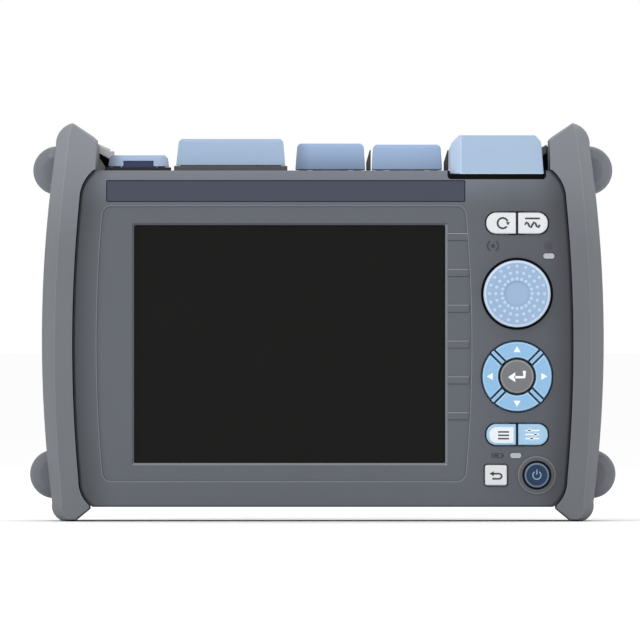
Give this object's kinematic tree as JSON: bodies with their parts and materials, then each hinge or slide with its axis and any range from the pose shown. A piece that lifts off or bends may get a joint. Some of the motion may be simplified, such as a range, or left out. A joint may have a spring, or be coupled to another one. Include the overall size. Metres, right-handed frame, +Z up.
{
  "type": "optical time domain reflectometer",
  "caption": "Handheld fibre test instrument with a large screen, a knob and keys beside it, hinged port covers on top and rubber guards at both sides.",
  "frame": {"origin": "under the middle of the instrument, on the surface that the two guards stand on", "axes": "+X to the right of someone facing the screen, +Y into the instrument away from them, +Z up"},
  "size_m": [0.2194, 0.069, 0.149],
  "materials": {
    "case_plastic": "fine textured moulded plastic, slate grey",
    "guard_rubber": "soft elastomer with a fine matt grain, grey",
    "deck_plastic": "dark grey moulded plastic",
    "window": "dark tinted screen window with a soft gloss",
    "display": "liquid crystal panel in a thin metal frame",
    "strip_plastic": "bare slate-blue inlay with a satin surface",
    "lamp_lens": "frosted lens",
    "white_key": "satin white key cap",
    "blue_key": "satin light-blue key cap",
    "arrow_blue": "satin light-blue plastic",
    "navy_key": "dark blue key with a bright rim",
    "grey_key": "satin grey key cap",
    "knob_blue": "satin light-blue plastic with raised dots",
    "cover_blue": "satin light-blue plastic",
    "lug_plastic": "grey moulded plastic",
    "stand_plastic": "dark grey moulded plastic",
    "black_plastic": "black moulded plastic",
    "adapter_plastic": "blue moulded fibre adapter",
    "sleeve_ceramic": "polished white zirconia",
    "membrane": "translucent silicone",
    "circuit_board": "green solder mask over glass-fibre board",
    "steel": "plated steel",
    "zinc": "satin nickel-plated metal",
    "module_metal": "milled aluminium box",
    "battery_wrap": "black wrapped battery pack",
    "contact_brass": "gold-plated contact blades"
  },
  "bodies": {
    "instrument": {"battery_contacts": "contact_brass", "battery_pack": "battery_wrap", "case_screws": "steel", "charge_lamp": "lamp_lens", "cover_hinge_pins": "steel", "dc_jack": "black_plastic", "display_module": "display", "display_window": "window", "encoder_body": "zinc", "front_case": "case_plastic", "key_board": "circuit_board", "keypad_membrane": "membrane", "laser_lamp": "lamp_lens", "left_guard": "guard_rubber", "light_port": "zinc", "light_sleeve": "sleeve_ceramic", "main_board": "circuit_board", "meter_port": "zinc", "name_strip": "strip_plastic", "optics_module": "module_metal", "otdr_port_1": "adapter_plastic", "otdr_port_2": "adapter_plastic", "otdr_sleeve_1": "sleeve_ceramic", "otdr_sleeve_2": "sleeve_ceramic", "pad_frame": "arrow_blue", "port_deck": "deck_plastic", "rear_case": "case_plastic", "right_guard": "guard_rubber", "small_usb_socket": "steel", "stand_pins": "steel", "strap_lug_left": "lug_plastic", "strap_lug_right": "lug_plastic", "usb_socket_1": "steel", "usb_socket_2": "steel"},
    "knob_rotor": {"encoder_rotor": "black_plastic"},
    "knob_shaft": {"encoder_shaft": "steel", "knob": "knob_blue"},
    "real_time_key": {"real_time_key": "white_key"},
    "average_key": {"average_key": "white_key"},
    "menu_key": {"menu_key": "white_key"},
    "setup_key": {"setup_key": "blue_key"},
    "escape_key": {"escape_key": "white_key"},
    "power_key": {"power_key": "navy_key"},
    "up_key": {"up_key": "arrow_blue"},
    "right_key": {"right_key": "arrow_blue"},
    "down_key": {"down_key": "arrow_blue"},
    "left_key": {"left_key": "arrow_blue"},
    "enter_key": {"enter_key": "grey_key"},
    "dc_cover": {"dc_cover": "cover_blue"},
    "usb_cover": {"usb_cover": "cover_blue"},
    "light_cover": {"light_port_cover": "cover_blue"},
    "meter_cover": {"meter_port_cover": "cover_blue"},
    "otdr_cover": {"otdr_port_cover": "cover_blue"},
    "tilt_stand": {"tilt_stand": "stand_plastic"},
    "battery_door": {"battery_door": "case_plastic"},
    "battery_screw": {"battery_screw": "steel"}
  },
  "joints": [
    {"name": "knob_turn", "type": "hinge", "parent": "instrument", "child": "knob_rotor", "pos_m": [0.0726, -0.0263, 0.0851], "axis": [0, 1, 0], "continuous": true},
    {"name": "knob_press", "type": "slide", "parent": "knob_rotor", "child": "knob_shaft", "axis": [0, 1, 0], "range_m": [0, 0.0005], "stiffness_N_per_m": 2000, "springref_m": -0.0005},
    {"name": "real_time_press", "type": "slide", "parent": "instrument", "child": "real_time_key", "axis": [0, 1, 0], "range_m": [0, 0.0008], "stiffness_N_per_m": 400, "springref_m": -0.0008},
    {"name": "average_press", "type": "slide", "parent": "instrument", "child": "average_key", "axis": [0, 1, 0], "range_m": [0, 0.0008], "stiffness_N_per_m": 400, "springref_m": -0.0008},
    {"name": "menu_press", "type": "slide", "parent": "instrument", "child": "menu_key", "axis": [0, 1, 0], "range_m": [0, 0.0008], "stiffness_N_per_m": 400, "springref_m": -0.0008},
    {"name": "setup_press", "type": "slide", "parent": "instrument", "child": "setup_key", "axis": [0, 1, 0], "range_m": [0, 0.0008], "stiffness_N_per_m": 400, "springref_m": -0.0008},
    {"name": "escape_press", "type": "slide", "parent": "instrument", "child": "escape_key", "axis": [0, 1, 0], "range_m": [0, 0.0008], "stiffness_N_per_m": 400, "springref_m": -0.0008},
    {"name": "power_press", "type": "slide", "parent": "instrument", "child": "power_key", "axis": [0, 1, 0], "range_m": [0, 0.0008], "stiffness_N_per_m": 400, "springref_m": -0.0008},
    {"name": "up_press", "type": "slide", "parent": "instrument", "child": "up_key", "axis": [0, 1, 0], "range_m": [0, 0.0008], "stiffness_N_per_m": 400, "springref_m": -0.0008},
    {"name": "right_press", "type": "slide", "parent": "instrument", "child": "right_key", "axis": [0, 1, 0], "range_m": [0, 0.0008], "stiffness_N_per_m": 400, "springref_m": -0.0008},
    {"name": "down_press", "type": "slide", "parent": "instrument", "child": "down_key", "axis": [0, 1, 0], "range_m": [0, 0.0008], "stiffness_N_per_m": 400, "springref_m": -0.0008},
    {"name": "left_press", "type": "slide", "parent": "instrument", "child": "left_key", "axis": [0, 1, 0], "range_m": [0, 0.0008], "stiffness_N_per_m": 400, "springref_m": -0.0008},
    {"name": "enter_press", "type": "slide", "parent": "instrument", "child": "enter_key", "axis": [0, 1, 0], "range_m": [0, 0.0008], "stiffness_N_per_m": 400, "springref_m": -0.0008},
    {"name": "dc_cover_hinge", "type": "hinge", "parent": "instrument", "child": "dc_cover", "pos_m": [-0.069, 0.0082, 0.1343], "axis": [-1, 0, 0], "range_deg": [0, 105]},
    {"name": "usb_cover_hinge", "type": "hinge", "parent": "instrument", "child": "usb_cover", "pos_m": [-0.0345, 0.0082, 0.1343], "axis": [-1, 0, 0], "range_deg": [0, 105]},
    {"name": "light_cover_hinge", "type": "hinge", "parent": "instrument", "child": "light_cover", "pos_m": [0.0028, 0.0082, 0.1343], "axis": [-1, 0, 0], "range_deg": [0, 105]},
    {"name": "meter_cover_hinge", "type": "hinge", "parent": "instrument", "child": "meter_cover", "pos_m": [0.0315, 0.0082, 0.1343], "axis": [-1, 0, 0], "range_deg": [0, 105]},
    {"name": "otdr_cover_hinge", "type": "hinge", "parent": "instrument", "child": "otdr_cover", "pos_m": [0.06505, 0.0082, 0.1343], "axis": [-1, 0, 0], "range_deg": [0, 105]},
    {"name": "stand_hinge", "type": "hinge", "parent": "instrument", "child": "tilt_stand", "pos_m": [0, 0.0297, 0.112], "axis": [1, 0, 0], "range_deg": [0, 40]},
    {"name": "battery_door_lift", "type": "slide", "parent": "instrument", "child": "battery_door", "axis": [0, 1, 0], "range_m": [0, 0.015]},
    {"name": "battery_screw_turn", "type": "hinge", "parent": "battery_door", "child": "battery_screw", "pos_m": [0, 0.0325, 0.1026], "axis": [0, -1, 0], "range_deg": [0, 720]}
  ]
}
